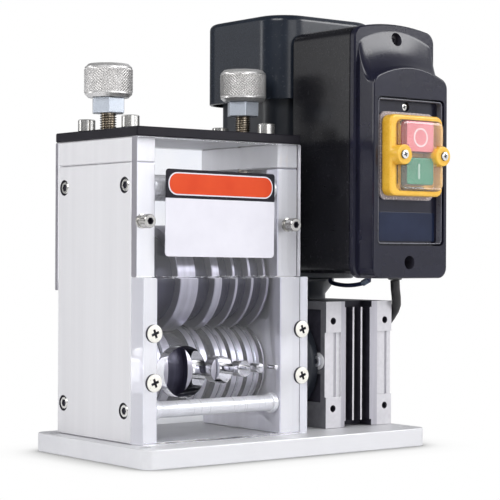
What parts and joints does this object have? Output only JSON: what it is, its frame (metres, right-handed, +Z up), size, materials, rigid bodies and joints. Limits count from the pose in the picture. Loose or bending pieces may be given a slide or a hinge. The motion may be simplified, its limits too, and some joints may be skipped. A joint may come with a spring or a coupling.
{
  "type": "wire stripping machine",
  "caption": "Bench wire stripping machine: grooved upper roller over a driven bladed roller between side plates, clear guards, worm gearmotor, push-button switch box.",
  "frame": {"origin": "centre of the base plate's underside", "axes": "+X along the front from the stripping head to the drive, +Y to the back, +Z up"},
  "size_m": [0.305, 0.2993, 0.3378],
  "materials": {
    "bright_aluminium": "polished",
    "satin_aluminium": "satin",
    "cast_aluminium": "cast, machined on its edges",
    "bright_nickel": "polished",
    "ground_steel": "ground",
    "blade_steel": "ground edge",
    "worm_bronze": "machined",
    "black_paint": "satin",
    "black_plastic": "gloss",
    "black_rubber": "matte",
    "blue_lead": "matte",
    "clear_acrylic": "polished, transparent",
    "clear_silicone": "translucent",
    "yellow_plastic": "satin",
    "red_plastic": "gloss",
    "green_plastic": "gloss"
  },
  "bodies": {
    "frame": {"base_plate": "bright_aluminium", "left_side_plate": "satin_aluminium", "right_side_plate": "satin_aluminium", "left_cap_bar": "satin_aluminium", "right_cap_bar": "satin_aluminium", "gearbox_housing": "cast_aluminium", "gearbox_side_cover": "cast_aluminium", "front_upper_tie_rod": "bright_nickel", "rear_upper_tie_rod": "bright_nickel", "front_lower_tie_rod": "bright_nickel", "rear_lower_tie_rod": "bright_nickel", "left_front_cap_screw": "bright_nickel", "left_rear_cap_screw": "bright_nickel", "right_front_cap_screw": "bright_nickel", "right_rear_cap_screw": "bright_nickel", "lower_left_bearing": "ground_steel", "lower_right_bearing": "ground_steel", "top_plate": "black_paint", "output_flange": "black_paint", "motor_adapter": "black_paint", "motor_body": "black_paint", "fan_cover": "black_plastic", "switch_box": "black_plastic", "switch_box_lid": "black_plastic", "cable_gland": "black_rubber", "power_cord": "black_rubber", "cord_coil": "black_rubber", "power_plug": "black_rubber", "motor_lead": "blue_lead", "front_guide_block": "clear_acrylic", "upper_front_cover": "clear_acrylic", "rear_cover": "clear_acrylic", "switch_gasket": "clear_silicone", "switch_boot": "clear_silicone", "switch_frame": "yellow_plastic"},
    "carriage": {"left_bearing_block": "satin_aluminium", "right_bearing_block": "satin_aluminium", "upper_left_bearing": "ground_steel", "upper_right_bearing": "ground_steel"},
    "upper_roller_body": {"upper_shaft": "ground_steel", "upper_roller": "ground_steel"},
    "lower_roller_body": {"lower_shaft": "ground_steel", "lower_roller": "ground_steel", "slitting_blade_1": "blade_steel", "slitting_blade_2": "blade_steel", "slitting_blade_3": "blade_steel", "slitting_blade_4": "blade_steel", "slitting_blade_5": "blade_steel", "shaft_coupling": "bright_nickel", "worm_wheel": "worm_bronze"},
    "rotor_body": {"motor_rotor": "ground_steel", "cooling_fan": "black_plastic"},
    "left_adjuster": {"left_knob": "bright_nickel", "left_lock_nut": "bright_nickel", "left_adjusting_screw": "bright_nickel"},
    "right_adjuster": {"right_knob": "bright_nickel", "right_lock_nut": "bright_nickel", "right_adjusting_screw": "bright_nickel"},
    "stop_push": {"stop_button": "red_plastic"},
    "start_push": {"start_button": "green_plastic"}
  },
  "joints": [
    {"name": "left_knob_turn", "type": "hinge", "parent": "carriage", "child": "left_adjuster", "pos_m": [-0.11, 0.01, 0.2628], "axis": [0, 0, 1], "range_deg": [0, 7200]},
    {"name": "right_knob_turn", "type": "hinge", "parent": "carriage", "child": "right_adjuster", "pos_m": [0.015, 0.01, 0.267], "axis": [0, 0, 1], "range_deg": [0, 7200]},
    {"name": "carriage_slide", "type": "slide", "parent": "frame", "child": "carriage", "axis": [0, 0, 1], "range_m": [0, 0.035]},
    {"name": "upper_roller_spin", "type": "hinge", "parent": "carriage", "child": "upper_roller_body", "pos_m": [-0.0475, 0.01, 0.1305], "axis": [1, 0, 0], "continuous": true},
    {"name": "rotor_spin", "type": "hinge", "parent": "frame", "child": "rotor_body", "pos_m": [0.0938, 0.05, 0.0635], "axis": [0, 0, 1], "continuous": true},
    {"name": "lower_roller_spin", "type": "hinge", "parent": "frame", "child": "lower_roller_body", "pos_m": [-0.0475, 0.01, 0.0635], "axis": [1, 0, 0], "continuous": true},
    {"name": "stop_press", "type": "slide", "parent": "frame", "child": "stop_push", "axis": [0, 1, 0], "range_m": [0, 0.003], "stiffness_N_per_m": 400},
    {"name": "start_press", "type": "slide", "parent": "frame", "child": "start_push", "axis": [0, 1, 0], "range_m": [0, 0.003], "stiffness_N_per_m": 400}
  ],
  "couplings": [
    {"joint": "left_knob_turn", "follows": "carriage_slide", "rad_per_m": 3590.4},
    {"joint": "right_knob_turn", "follows": "carriage_slide", "rad_per_m": 3590.4},
    {"joint": "lower_roller_spin", "follows": "rotor_spin", "ratio": -0.033333}
  ]
}
